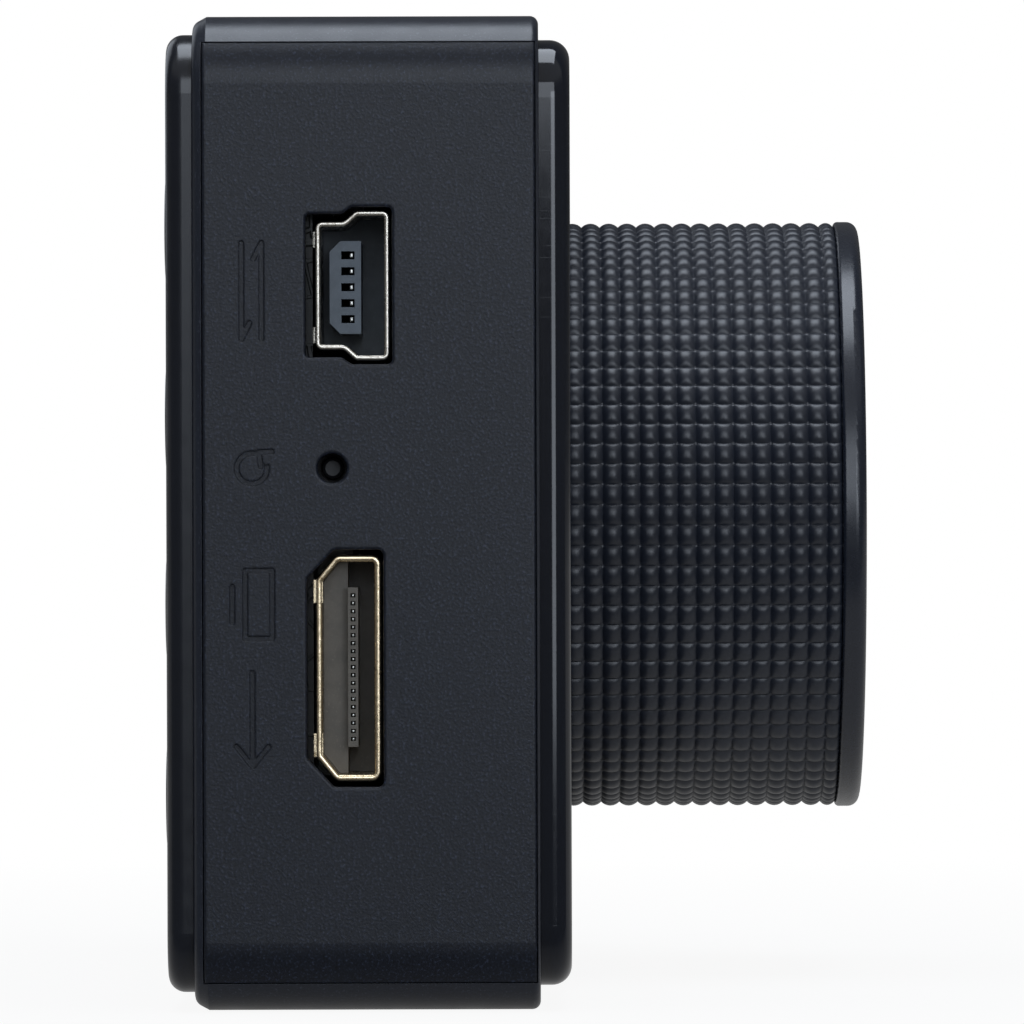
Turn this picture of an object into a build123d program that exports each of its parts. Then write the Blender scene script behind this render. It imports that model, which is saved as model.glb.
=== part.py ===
"""Box-bodied action camera with a large knurled lens barrel, one solid or group of solids per node.

The origin is the mouth of the tripod socket, in the middle of the base. +Z is up, the lens
looks along -Y, and the side with the ports faces -X. All lengths are in millimetres.
"""

from build123d import *
import math
import os

# ------------------------------------------------------------------ driving dimensions
# Housing
width = 82.3
height = 50.0
depth = 17.38
rear_y = 8.65
corner = 3.5
wall = 1.6
side_wall = 2.55
cavity_corner = 1.4
front_edge = 0.42
rear_edge = 0.55
rear_slope_depth = 0.7
rear_slope_drop = 0.38

# Covers
front_cover_thickness = 1.575
front_cover_inset = 1.185
front_cover_corner = 3.0
front_cover_edge = 1.0
rear_cover_thickness = 1.35
rear_cover_inset = 0.89
rear_cover_edge = 0.85
rim_thickness = 1.0
rim_depth = 1.2
rim_gap = 0.1

# Side panels, nearly flush with the shell
panel_recess = 0.04
panel_rear_y = 8.13
panel_front_y = -8.55
panel_bottom = 1.48
panel_top = 48.57
panel_back = 39.95
panel_gap = 0.04
panel_edge = 0.15
engrave = 0.18
mark_width = 0.27

# Lens barrel: places along the lens axis are distances forward of the origin
lens_x = 8.5
lens_z = 24.87
tube_radius = 13.95
tube_bore = 12.6
tube_front = 25.02
flange_radius = 17.0
flange_thickness = 1.3
ring_bore = 14.0
ring_start = 10.15
ring_end = 25.0
ridge_start = 10.2
ridge_pitch = 1.0
ridge_count = 14
ridge_crest = 15.99
ridge_valley = 15.75
ridge_flat = 0.3
lip_radius = 16.04
lip_front = 26.31
lip_edge_radius = 0.58
lip_rear_radius = 0.22
glass_radius = 12.35
glass_front = 25.28
glass_thickness = 0.98

# Focus drive: the pin slides 1 mm while the ring turns 120 degrees
pin_radius = 0.6
pin_forward = 16.25
focus_travel = 1.0
cam_rise = 0.55
cam_width = 1.4
cam_depth = 0.75

# Main board and the ports on its front face
board_front_y = 2.65
board_thickness = 1.0
board_half_width = 38.0
board_bottom = 2.3
board_top = 47.2
port_inset = 0.4
usb_z = 36.38
usb_wall = 0.28
usb_length = 8.2
usb_pitch = 0.8
hdmi_z = 17.235
hdmi_wall = 0.36
hdmi_length = 7.4
hdmi_pitch = 0.4
hdmi_poles = 19
reset_z = 27.25
reset_y = 1.64
reset_hole_radius = 0.74

# Screen and rear keys
screen_x = 7.0
window_size = (60.5, 44.0)
window_corner = 1.95
screen_opening = (51.0, 38.5)
lcd_size = (60.2, 42.8)
key_x = -31.3
key_pitch = 9.6
key_radius = 2.85
key_proud = 0.25
key_travel = 0.3

# Top buttons
record_x = 24.0
record_radius = 4.2
power_x = -22.0
power_radius = 2.7
button_gap = 0.15
button_proud = 0.6
switch_top = 46.1
stem_y = 1.8

# Card slot and speaker, in the side away from the ports
card_z = 33.5
card_y = 1.8
card_thickness = 0.7
card_half_width = 5.5
speaker_z = 16.5
sound_slots_y = (-4.6, -3.0, -1.4)

# Microphone and status light, in the front
front_x = 31.5
microphone_z = 8.5
light_z = 43.9

# Tripod socket and fasteners
socket_radius = 2.55
socket_length = 6.0
insert_radius = 3.75
pillar_x = 35.3
pillar_z = 19.85
pillar_radius = 2.0
screw_radius = 0.8
lens_screw_circle = 15.2
lens_screw_radius = 0.6
clearance = 0.05

# ------------------------------------------------------------------ derived places
half_width = width / 2
middle = height / 2
front_y = rear_y - depth
cavity_size = (width - 2 * side_wall, height - 2 * wall)
cavity_top = cavity_size[1] / 2
front_cover_y = front_y - front_cover_thickness
rear_cover_y = rear_y + rear_cover_thickness
board_rear_y = board_front_y + board_thickness
port_mouth_x = port_inset - half_width
flange_front = -front_y
flange_rear = flange_front - flange_thickness
lens_section = Plane(origin=(lens_x, 0, lens_z), x_dir=(1, 0, 0), z_dir=(0, 0, -1))
lens_axis = Axis((lens_x, 0, lens_z), (0, -1, 0))
pillar_places = [(x, middle + z) for x in (-pillar_x, pillar_x) for z in (-pillar_z, pillar_z)]
key_names = ("key_ok", "key_down", "key_up", "key_menu")
key_places = {name: middle + (row - 1.5) * key_pitch for row, name in enumerate(key_names)}
hook_places = [(x, level) for level in (1, -1) for x in (-16, 16)]


def facing_front(y):
    """A plane at this Y, drawn in X and Z, that extrudes towards the front of the camera."""
    return Plane.XZ.offset(-y)


def port_side(inset):
    """A plane this far inside the port side, drawn in -Y and Z, that extrudes outwards."""
    return Plane(origin=(inset - half_width, 0, 0), x_dir=(0, -1, 0), z_dir=(-1, 0, 0))


def smaller(size, margin):
    """A width and height, each less by twice this margin."""
    return [side - 2 * margin for side in size]


def block(x_range, y_range, z_range):
    """A plain rectangular block between two values on each axis."""
    with BuildPart() as piece:
        with BuildSketch(Plane.XY.offset(z_range[0])):
            with Locations((sum(x_range) / 2, sum(y_range) / 2)):
                Rectangle(x_range[1] - x_range[0], y_range[1] - y_range[0])
        extrude(amount=z_range[1] - z_range[0])
    return piece.part


def slab(size, radius, y_range, centre=(0, middle)):
    """A slab with rounded corners in X and Z, between two values of Y."""
    with BuildPart() as piece:
        with BuildSketch(facing_front(y_range[1])):
            with Locations(centre):
                RectangleRounded(*size, radius)
        extrude(amount=y_range[1] - y_range[0])
    return piece.part


def rod(radius, y_range, centre):
    """A round rod along Y."""
    with BuildPart() as piece:
        with BuildSketch(facing_front(y_range[1])):
            with Locations(centre):
                Circle(radius)
        extrude(amount=y_range[1] - y_range[0])
    return piece.part


def post(radius, z_range, centre):
    """A round post along Z."""
    with BuildPart() as piece:
        with BuildSketch(Plane.XY.offset(z_range[0])):
            with Locations(centre):
                Circle(radius)
        extrude(amount=z_range[1] - z_range[0])
    return piece.part


def turned(outline):
    """A body of revolution about the lens axis, from (radius, forward) corners."""
    with BuildPart() as piece:
        with BuildSketch(lens_section):
            with BuildLine():
                Polyline(*outline, close=True)
            make_face()
        revolve(axis=lens_axis)
    return piece.part


def disc(radius, forward_range):
    """A plain disc about the lens axis, between two distances forward."""
    return rod(radius, (-forward_range[1], -forward_range[0]), (lens_x, lens_z))


def screw_circle(radius, forward_range):
    """Three rods around the lens axis, where the lens screws are."""
    with BuildPart() as piece:
        with BuildSketch(facing_front(-forward_range[0])):
            with Locations((lens_x, lens_z)):
                with PolarLocations(lens_screw_circle, 3, start_angle=90):
                    Circle(radius)
        extrude(amount=forward_range[1] - forward_range[0])
    return piece.part


def closed_outline(points, radius):
    """A sketch inside a closed line through these points, with its corners rounded."""
    with BuildSketch() as outline:
        with BuildLine():
            FilletPolyline(*points, radius=radius, close=True)
        make_face()
    return outline.sketch


def usb_shape(half_wide, half_narrow, right, shoulder, left, radius):
    """The outline of the five-pole port, wide on its right, around the middle of its height."""
    half = [
        (right, half_wide),
        (shoulder[0], half_wide),
        (shoulder[1], half_narrow),
        (left, half_narrow),
    ]
    return closed_outline(half + [(x, -z) for x, z in reversed(half)], radius)


def hdmi_shape(right, left, half_height, cut_across, cut_along, radius):
    """The outline of the nineteen-pole port, with its two left corners cut off."""
    half = [
        (right, half_height),
        (left + cut_across, half_height),
        (left, half_height - cut_along),
    ]
    return closed_outline(half + [(x, -z) for x, z in reversed(half)], radius)


usb_outline = usb_shape(3.76, 3.22, 1.26, (-0.45, -1.05), -2.48, 0.38)
usb_cutout = usb_shape(3.93, 3.58, 1.38, (-0.62, -1.15), -2.96, 0.25)
hdmi_outline = hdmi_shape(0.8, -2.5, 5.67, 1.0, 1.22, 0.5)
hdmi_cutout = hdmi_shape(0.9, -2.92, 5.93, 1.35, 1.45, 0.3)


def port_prism(outline, place_z, start, length, shrink=0.0):
    """A prism of a port's outline, drawn in by a margin, that runs inwards from an inset."""
    with BuildPart() as piece:
        with BuildSketch(port_side(start)):
            with Locations((0, place_z)):
                add(outline)
            if shrink:
                offset(amount=-shrink, mode=Mode.REPLACE)
        extrude(amount=-length)
    return piece.part


os.makedirs("parts", exist_ok=True)
pieces = []


def keep(piece, label):
    """Labels a finished piece and puts it on the list that is written at the end."""
    piece.part.label = label
    pieces.append(piece)


# ------------------------------------------------------------------ housing
port_windows = ((0.8, usb_z, 4.9, 8.4), (1.0, hdmi_z, 4.5, 12.4))
reset_window_radius = 1.1
card_opening = (1.2, 2 * card_half_width + 0.5)
sound_slot = (8.0, 0.9)
boss_wall = 0.95
boss_top = 7.4
hook_half_width = 2.5
hook_y = (5.0, 6.0)
hook_reach = 0.6


def card_side_openings(margin):
    """The card slot and the sound slots, drawn in Y and Z and grown by a margin."""
    with BuildSketch() as openings:
        with Locations((card_y, card_z)):
            Rectangle(*[side + margin for side in card_opening])
        with Locations(*[(y, speaker_z) for y in sound_slots_y]):
            SlotOverall(*sound_slot, rotation=90)
    return openings.sketch


with BuildPart() as center_shell:
    add(slab((width, height), corner, (front_y, rear_y)))
    fillet(center_shell.faces().sort_by(Axis.Y)[0].edges(), front_edge)
    rear_face = center_shell.faces().sort_by(Axis.Y)[-1]
    chamfer(rear_face.edges(), rear_slope_drop, rear_slope_depth, reference=rear_face)
    fillet(center_shell.faces().sort_by(Axis.Y)[-1].edges(), rear_edge)
    add(slab(cavity_size, cavity_corner, (front_y, rear_y)), mode=Mode.SUBTRACT)
    # Pockets for the two side panels
    for side in (-1, 1):
        with BuildSketch(Plane.YZ.offset(side * (panel_back - clearance))):
            with Locations(((panel_rear_y + panel_front_y) / 2, (panel_top + panel_bottom) / 2)):
                Rectangle(
                    panel_rear_y - panel_front_y + 2 * panel_gap,
                    panel_top - panel_bottom + 2 * panel_gap,
                )
        extrude(amount=side * corner, mode=Mode.SUBTRACT)
    # Windows behind the ports, the reset hole, the card slot and the speaker
    with BuildSketch(Plane.YZ.offset(-half_width)):
        for window_y, window_z, size_y, size_z in port_windows:
            with Locations((window_y, window_z)):
                RectangleRounded(size_y, size_z, 0.4)
        with Locations((reset_y, reset_z)):
            Circle(reset_window_radius)
    extrude(amount=side_wall + 1, mode=Mode.SUBTRACT)
    with BuildSketch(Plane.YZ.offset(half_width)):
        add(card_side_openings(2 * clearance))
    extrude(amount=-side_wall - 1, mode=Mode.SUBTRACT)
    # Boss and pocket of the tripod insert
    add(post(insert_radius + boss_wall, (wall / 2, boss_top), (0, 0)))
    add(post(insert_radius + clearance, (0, socket_length + 0.2), (0, 0)), mode=Mode.SUBTRACT)
    # Holes of the two top buttons
    for place, radius in ((record_x, record_radius), (power_x, power_radius)):
        add(
            post(radius + button_gap, (height - 2 * wall, height), (place, 0)),
            mode=Mode.SUBTRACT,
        )
    # Pockets for the rear cover's snap hooks
    for x, level in hook_places:
        hook_x = (x - hook_half_width - 0.3, x + hook_half_width + 0.3)
        catch_z = sorted(middle + level * (cavity_top + step) for step in (-0.2, hook_reach + 0.1))
        catch_y = (hook_y[0] - 0.1, hook_y[1] + 0.2)
        add(block(hook_x, catch_y, catch_z), mode=Mode.SUBTRACT)
keep(center_shell, "center_shell")


def panel_blank(side):
    """A side panel: the housing's outline drawn in by the recess, cut to the panel's rectangle."""
    with BuildPart() as piece:
        add(
            slab(
                smaller((width, height), panel_recess),
                corner - panel_recess,
                (panel_front_y, panel_rear_y),
            )
        )
        with BuildSketch(Plane.YZ.offset(side * panel_back)):
            with Locations((0, (panel_top + panel_bottom) / 2)):
                Rectangle(depth, panel_top - panel_bottom)
        extrude(amount=side * corner, mode=Mode.INTERSECT)
        outer_face = piece.faces().filter_by(Axis.X).sort_by(Axis.X)[-1 if side > 0 else 0]
        fillet(outer_face.edges().filter_by(Axis.Z), panel_edge)
    return piece.part


def stroke(start, end, thickness):
    """A straight engraved stroke with round ends, between two points."""
    run = Vector(*end) - Vector(*start)
    centre = (Vector(*start) + Vector(*end)) * 0.5
    with BuildSketch() as line:
        with Locations((centre.X, centre.Y)):
            SlotOverall(
                run.length + thickness,
                thickness,
                rotation=math.degrees(math.atan2(run.Y, run.X)),
            )
    return line.sketch


def strokes(points, origin=(0, 0), thickness=mark_width):
    """Strokes that join these points one after another, moved to an origin."""
    placed = [(origin[0] + x, origin[1] + y) for x, y in points]
    return [stroke(start, end, thickness) for start, end in zip(placed, placed[1:])]


# The pictograms stand in one column, and read from the top down with their tops to the front.
column_front = 6.65
column_rear = 4.65
column = -(column_front + column_rear) / 2
column_half = (column_front - column_rear) / 2
barb = 0.5
arrow_half = 2.4
screen_ends = (1.5, 4.9)
stand_half = 0.9
pointer_ends = (-0.2, -4.9)
ring_radius = 0.76

transfer_place = (column, usb_z - 0.25)
transfer_marks = strokes(
    [(0.1, arrow_half - 0.8), (barb, arrow_half), (barb, -arrow_half)], transfer_place
) + strokes([(-0.1, 0.8 - arrow_half), (-barb, -arrow_half), (-barb, arrow_half)], transfer_place)

screen_foot = sum(screen_ends) / 2
screen_marks = strokes(
    [
        (column_half, screen_ends[1]),
        (column_half, screen_ends[0]),
        (-0.35, screen_ends[0]),
        (-0.35, screen_ends[1]),
        (column_half, screen_ends[1]),
    ],
    (column, hdmi_z),
) + strokes(
    [(-column_half, screen_foot - stand_half), (-column_half, screen_foot + stand_half)],
    (column, hdmi_z),
)
arrow_marks = strokes([(0, pointer_ends[0]), (0, pointer_ends[1])], (column, hdmi_z)) + strokes(
    [(0.8, pointer_ends[1] + 1), (0, pointer_ends[1]), (-0.8, pointer_ends[1] + 1)],
    (column, hdmi_z),
)

with BuildPart() as port_side_panel:
    add(panel_blank(-1))
    for cutout, place_z in ((usb_cutout, usb_z), (hdmi_cutout, hdmi_z)):
        add(port_prism(cutout, place_z, 0, side_wall), mode=Mode.SUBTRACT)
    with BuildSketch(port_side(0)):
        with Locations((-reset_y, reset_z)):
            Circle(reset_hole_radius)
    extrude(amount=-side_wall, mode=Mode.SUBTRACT)
    # The mouths of the cut-outs are rounded over
    outer_face = port_side_panel.faces().filter_by(Axis.X).sort_by(Axis.X)[0]
    fillet([edge for wire in outer_face.inner_wires() for edge in wire.edges()], panel_edge)
    with BuildSketch(port_side(panel_recess)):
        add(transfer_marks)
        add(screen_marks)
        add(arrow_marks)
        with Locations((column, reset_z)):
            Circle(ring_radius + mark_width / 2)
            Circle(ring_radius - mark_width / 2, mode=Mode.SUBTRACT)
        with Locations((column + ring_radius, reset_z + 0.55)):
            Rectangle(0.6, 0.6, rotation=35, mode=Mode.SUBTRACT)
        add(strokes([(1.0, 0.85), (0.35, 0.8), (0.45, 0.1)], (column, reset_z)))
    extrude(amount=-engrave, mode=Mode.SUBTRACT)
keep(port_side_panel, "port_side_panel")

scoop_size = (15.0, 4.4)
scoop_depth = 0.62
with BuildPart() as card_side_panel:
    add(panel_blank(1))
    with BuildSketch(Plane.YZ.offset(half_width)):
        add(card_side_openings(0))
    extrude(amount=-side_wall, mode=Mode.SUBTRACT)
    # A shallow scoop lets a fingertip push the card
    with BuildSketch(Plane.YZ.offset(half_width)):
        with Locations((card_y, card_z)):
            SlotOverall(*scoop_size, rotation=90)
    extrude(amount=-scoop_depth, mode=Mode.SUBTRACT)
keep(card_side_panel, "card_side_panel")


def cover_rim(y_range):
    """The rim that locates a cover inside the centre shell."""
    outer = smaller(cavity_size, rim_gap)
    with BuildPart() as piece:
        add(slab(outer, cavity_corner - rim_gap, y_range))
        add(slab(smaller(outer, rim_thickness), 0.5, y_range), mode=Mode.SUBTRACT)
    return piece.part


ring_seat_radius = lip_radius + 0.22
ring_seat_depth = 0.3
pillar_bore_depth = 6.65
sound_hole_radius = 0.5
light_radius = 0.95
with BuildPart() as front_cover:
    add(
        slab(
            smaller((width, height), front_cover_inset),
            front_cover_corner,
            (front_cover_y, front_y),
        )
    )
    fillet(front_cover.faces().sort_by(Axis.Y)[0].edges(), front_cover_edge)
    add(cover_rim((front_y, front_y + rim_depth)))
    for place in pillar_places:
        bore_y = (board_front_y - pillar_bore_depth, board_front_y)
        add(rod(pillar_radius, (front_y, board_front_y), place))
        add(rod(screw_radius + 0.02, bore_y, place), mode=Mode.SUBTRACT)
    # Opening of the lens tube, with a shallow seat for the focus ring
    add(disc(ring_bore, (-front_y, -front_cover_y)), mode=Mode.SUBTRACT)
    add(
        disc(ring_seat_radius, (-front_cover_y - ring_seat_depth, -front_cover_y)),
        mode=Mode.SUBTRACT,
    )
    # Microphone hole, light pipe hole and the blind holes of the lens screws
    for radius, z in ((sound_hole_radius, microphone_z), (light_radius + clearance, light_z)):
        add(rod(radius, (front_cover_y, front_y), (front_x, z)), mode=Mode.SUBTRACT)
    add(screw_circle(lens_screw_radius + 0.02, (-front_y, -front_y + 0.85)), mode=Mode.SUBTRACT)
keep(front_cover, "front_cover")

window_seat_depth = 1.0
with BuildPart() as rear_cover:
    add(
        slab(
            smaller((width, height), rear_cover_inset),
            corner - rear_cover_inset / 2,
            (rear_y, rear_cover_y),
        )
    )
    fillet(rear_cover.faces().sort_by(Axis.Y)[-1].edges(), rear_cover_edge)
    add(cover_rim((rear_y - rim_depth, rear_y)))
    # Stepped seat of the screen window
    for size, radius, floor_y in (
        (smaller(window_size, -clearance), window_corner + clearance, rear_cover_y - window_seat_depth),
        (screen_opening, 0.6, rear_y),
    ):
        add(slab(size, radius, (floor_y, rear_cover_y), (screen_x, middle)), mode=Mode.SUBTRACT)
    for z in key_places.values():
        add(
            rod(key_radius + button_gap, (rear_y, rear_cover_y), (key_x, z)),
            mode=Mode.SUBTRACT,
        )
    # Snap hooks: an arm inside the wall, and a catch at its end
    for x, level in hook_places:
        hook_x = (x - hook_half_width, x + hook_half_width)
        outer = middle + level * (cavity_top - rim_gap)
        inner = outer - level * rim_thickness
        add(block(hook_x, (hook_y[0], rear_y), sorted((inner, outer))))
        add(block(hook_x, hook_y, sorted((inner, outer + level * hook_reach))))
keep(rear_cover, "rear_cover")

# ------------------------------------------------------------------ screen
frame_y = (4.9, 8.0)
frame_wall = 0.4
glass_fit = 0.02
gasket_size = (55.0, 41.6)
gasket_opening = (51.6, 39.0)
backlight_front = 6.5

with BuildPart() as screen_window:
    window_y = (rear_cover_y - window_seat_depth + glass_fit, rear_cover_y - 0.06)
    add(slab(window_size, window_corner, window_y, (screen_x, middle)))
    chamfer(screen_window.faces().sort_by(Axis.Y)[-1].edges(), 0.15)
keep(screen_window, "screen_window")

with BuildPart() as screen_gasket:
    gasket_y = (frame_y[1] + glass_fit, rear_y - glass_fit)
    add(slab(gasket_size, 0.8, gasket_y, (screen_x, middle)))
    add(slab(gasket_opening, 0.5, gasket_y, (screen_x, middle)), mode=Mode.SUBTRACT)
keep(screen_gasket, "screen_gasket")

with BuildPart() as lcd_frame:
    inside_y = (frame_y[0] + 0.3, frame_y[1])
    add(slab(lcd_size, 0.6, frame_y, (screen_x, middle)))
    add(
        slab(smaller(lcd_size, frame_wall), 0.3, inside_y, (screen_x, middle)),
        mode=Mode.SUBTRACT,
    )
keep(lcd_frame, "lcd_frame")

inside_frame = smaller(lcd_size, frame_wall + 0.1)
with BuildPart() as backlight_unit:
    backlight_y = (frame_y[0] + 0.3 + glass_fit, backlight_front)
    add(slab(inside_frame, 0.3, backlight_y, (screen_x, middle)))
keep(backlight_unit, "backlight_unit")

with BuildPart() as lcd_panel:
    panel_y = (backlight_front + glass_fit, frame_y[1] - glass_fit)
    add(slab(inside_frame, 0.2, panel_y, (screen_x, middle)))
keep(lcd_panel, "lcd_panel")

flex_width = 14
flex_z = (3.25, 10.0)
flex_y = (4.1, 6.0)
with BuildPart() as lcd_flex:
    with BuildSketch(Plane.YZ.offset(screen_x)):
        with BuildLine():
            FilletPolyline(
                (flex_y[1], flex_z[0]), (flex_y[0], flex_z[0]), (flex_y[0], flex_z[1]), radius=0.4
            )
            offset(amount=0.08, side=Side.BOTH)
        make_face()
    extrude(amount=flex_width)
keep(lcd_flex, "lcd_flex")

# ------------------------------------------------------------------ main board
board_notch = (11, 12)
processor_x = (-24.0, -12.0)
processor_z = (14.0, 26.0)
can_margin = 2.5
can_height = 2.1
can_sheet = 0.3
memory_x = (-26.0, -14.0)
memory_z = (32.0, 40.0)
chip_height = 1.1
key_switch_half = 2.25
key_switch_height = 0.9
dome_height = 0.25
top_switch_half = 2.35
top_switch_length = 3.8

with BuildPart() as main_board:
    with BuildSketch(facing_front(board_rear_y)):
        with Locations((0, (board_top + board_bottom) / 2)):
            Rectangle(2 * board_half_width, board_top - board_bottom)
        with Locations((0, board_bottom)):
            Rectangle(*board_notch, mode=Mode.SUBTRACT)
        with Locations(*pillar_places):
            Circle(screw_radius + 0.2, mode=Mode.SUBTRACT)
    extrude(amount=board_thickness)
keep(main_board, "main_board")

with BuildPart() as processor:
    add(block(processor_x, (board_front_y - chip_height, board_front_y), processor_z))
keep(processor, "processor")


def can_block(margin, top):
    """A block over the processor, grown by a margin, from the board to a height."""
    x_range = (processor_x[0] - margin, processor_x[1] + margin)
    z_range = (processor_z[0] - margin, processor_z[1] + margin)
    return block(x_range, (board_front_y - top, board_front_y), z_range)


with BuildPart() as shield_can:
    add(can_block(can_margin, can_height))
    chamfer(shield_can.faces().sort_by(Axis.Y)[0].edges(), can_sheet)
    add(can_block(can_margin - can_sheet, can_height - can_sheet), mode=Mode.SUBTRACT)
keep(shield_can, "shield_can")

with BuildPart() as memory_chip:
    add(block(memory_x, (board_front_y - chip_height, board_front_y), memory_z))
keep(memory_chip, "memory_chip")

with BuildPart() as key_switches:
    dome_y = board_rear_y + key_switch_height
    for z in key_places.values():
        switch_x = (key_x - key_switch_half, key_x + key_switch_half)
        add(block(switch_x, (board_rear_y, dome_y), (z - key_switch_half, z + key_switch_half)))
        add(rod(0.9, (dome_y, dome_y + dome_height), (key_x, z)))
keep(key_switches, "key_switches")

with BuildPart() as top_switches:
    body_top = switch_top - 0.6
    for x in (record_x, power_x):
        switch_x = (x - top_switch_half, x + top_switch_half)
        add(block(switch_x, (1.0, board_front_y), (body_top - top_switch_length, body_top)))
        add(post(0.6, (body_top, switch_top), (x, stem_y)))
keep(top_switches, "top_switches")

# ------------------------------------------------------------------ ports
usb_foot_x = (-37.2, -34.6)
usb_foot_half = 0.4
foot_y = (2.4, board_front_y)
with BuildPart() as usb_shell:
    add(port_prism(usb_outline, usb_z, port_inset, usb_length))
    add(port_prism(usb_outline, usb_z, port_inset, usb_length, usb_wall), mode=Mode.SUBTRACT)
    fillet(usb_shell.faces().sort_by(Axis.X)[0].edges(), usb_wall / 2 - 0.01)
    for z in (usb_z - 2.4, usb_z + 2.4):
        add(block(usb_foot_x, foot_y, (z - usb_foot_half, z + usb_foot_half)))
keep(usb_shell, "usb_shell")

usb_tongue_inset = port_inset + 0.7
usb_base_inset = port_inset + 6.6
usb_poles_z = [usb_z - 0.06 + place * usb_pitch for place in range(-2, 3)]
pole_slot = (0.66, 0.4)
pole_slot_length = 5.0
usb_contact = (0.18, 0.24)
tongue_front = -0.18
tongue_rear = -1.76
tongue_bevel = 0.54
with BuildPart() as usb_tongue:
    with BuildSketch(port_side(usb_tongue_inset)):
        with BuildLine():
            Polyline(
                (tongue_front, usb_z - 2.4),
                (tongue_front, usb_z + 2.25),
                (tongue_rear + tongue_bevel, usb_z + 2.25),
                (tongue_rear, usb_z + 2.25 - tongue_bevel),
                (tongue_rear, usb_z - 2.4 + tongue_bevel),
                (tongue_rear + tongue_bevel, usb_z - 2.4),
                close=True,
            )
        make_face()
    extrude(amount=-7.0)
    add(port_prism(usb_outline, usb_z, usb_base_inset, 1.5, usb_wall + 0.02))
    with BuildSketch(port_side(usb_tongue_inset)):
        with Locations(*[(-0.84, z) for z in usb_poles_z]):
            Rectangle(*pole_slot)
    extrude(amount=-pole_slot_length, mode=Mode.SUBTRACT)
keep(usb_tongue, "usb_tongue")

with BuildPart() as usb_contacts:
    with BuildSketch(port_side(usb_tongue_inset + 0.22)):
        with Locations(*[(-0.66, z) for z in usb_poles_z]):
            Rectangle(*usb_contact)
    extrude(amount=-4.75)
    tips = usb_contacts.faces().filter_by(Axis.X).group_by(Axis.X)[0]
    fillet(tips.edges(), usb_contact[0] / 3)
keep(usb_contacts, "usb_contacts")

seam_y = (2.13, 2.6)
seam_length = 2.15
hdmi_foot_x = (-37.4, -35.0)
with BuildPart() as hdmi_shell:
    add(port_prism(hdmi_outline, hdmi_z, port_inset, hdmi_length))
    add(port_prism(hdmi_outline, hdmi_z, port_inset, hdmi_length, hdmi_wall), mode=Mode.SUBTRACT)
    fillet(hdmi_shell.faces().sort_by(Axis.X)[0].edges(), hdmi_wall / 2 - 0.01)
    # Folded seams beside the cut corners, and solder feet
    for z in (hdmi_z - 3.85, hdmi_z + 3.85):
        seam_x = (port_mouth_x + 0.06, port_mouth_x + seam_length)
        add(block(seam_x, seam_y, (z - 0.58, z + 0.58)))
        add(block(hdmi_foot_x, foot_y, (z - 0.5, z + 0.5)))
keep(hdmi_shell, "hdmi_shell")

hdmi_tongue_inset = port_inset + 1.0
hdmi_base_inset = port_inset + 5.2
strip_place = (-0.64, hdmi_z + 0.04)
strip_size = (0.52, 8.0)
strip_slot = (0.24, 0.2)
hdmi_contact = (0.12, 0.13)
bank_edge = -0.9
bank_inset = 2.15
with BuildPart() as hdmi_tongue:
    with BuildSketch(port_side(hdmi_tongue_inset)):
        with Locations(strip_place):
            Rectangle(*strip_size)
    extrude(amount=-6.0)
    # The insulator fills the shell behind the plug, and comes nearer on the board's side
    add(port_prism(hdmi_outline, hdmi_z, hdmi_base_inset, 2.1, hdmi_wall + 0.02))
    with BuildSketch(port_side(bank_inset)):
        with Locations((0, hdmi_z)):
            add(hdmi_outline)
            offset(amount=-hdmi_wall - 0.02, mode=Mode.REPLACE)
        with Locations((bank_edge, hdmi_z)):
            Rectangle(4, 12, align=(Align.MIN, Align.CENTER), mode=Mode.SUBTRACT)
    extrude(amount=bank_inset - hdmi_base_inset)
    with BuildSketch(port_side(hdmi_tongue_inset)):
        with Locations(strip_place):
            with GridLocations(1, hdmi_pitch, 1, hdmi_poles):
                Rectangle(*strip_slot)
    extrude(amount=-4.0, mode=Mode.SUBTRACT)
keep(hdmi_tongue, "hdmi_tongue")

with BuildPart() as hdmi_contacts:
    with BuildSketch(port_side(hdmi_tongue_inset + 0.08)):
        with Locations(strip_place):
            with GridLocations(1, hdmi_pitch, 1, hdmi_poles):
                Rectangle(*hdmi_contact)
    extrude(amount=-3.85)
    tips = hdmi_contacts.faces().filter_by(Axis.X).group_by(Axis.X)[0]
    fillet(tips.edges(), hdmi_contact[0] / 3)
keep(hdmi_contacts, "hdmi_contacts")

reset_switch_x = (-38.2, -35.4)
with BuildPart() as reset_switch:
    add(block(reset_switch_x, (0.65, board_front_y), (reset_z - 2, reset_z + 2)))
    with BuildSketch(Plane.YZ.offset(reset_switch_x[0])):
        with Locations((reset_y, reset_z)):
            Circle(0.6)
    extrude(amount=1.4, mode=Mode.SUBTRACT)
keep(reset_switch, "reset_switch")

plunger_x = -39.3
plunger_length = 2.1
with BuildPart() as reset_plunger:
    with BuildSketch(Plane.YZ.offset(plunger_x)):
        with Locations((reset_y, reset_z)):
            Circle(0.5)
    extrude(amount=plunger_length)
    chamfer(reset_plunger.faces().sort_by(Axis.X)[0].edges(), 0.12)
keep(reset_plunger, "reset_plunger")

# ------------------------------------------------------------------ memory card
socket_x = (24.5, 38.4)
card_ends = (26.2, 40.9)
card_shoulders = (27.4, 31.4, 32.2)
with BuildPart() as card_socket:
    outer_z = (card_z - card_half_width - 0.45, card_z + card_half_width + 0.45)
    inner_z = (card_z - card_half_width - 0.12, card_z + card_half_width + 0.12)
    add(block(socket_x, (card_y - 0.8, board_front_y), outer_z))
    add(
        block((socket_x[0] + 0.7, socket_x[1]), (card_y - 0.5, card_y + 0.5), inner_z),
        mode=Mode.SUBTRACT,
    )
keep(card_socket, "card_socket")

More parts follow.
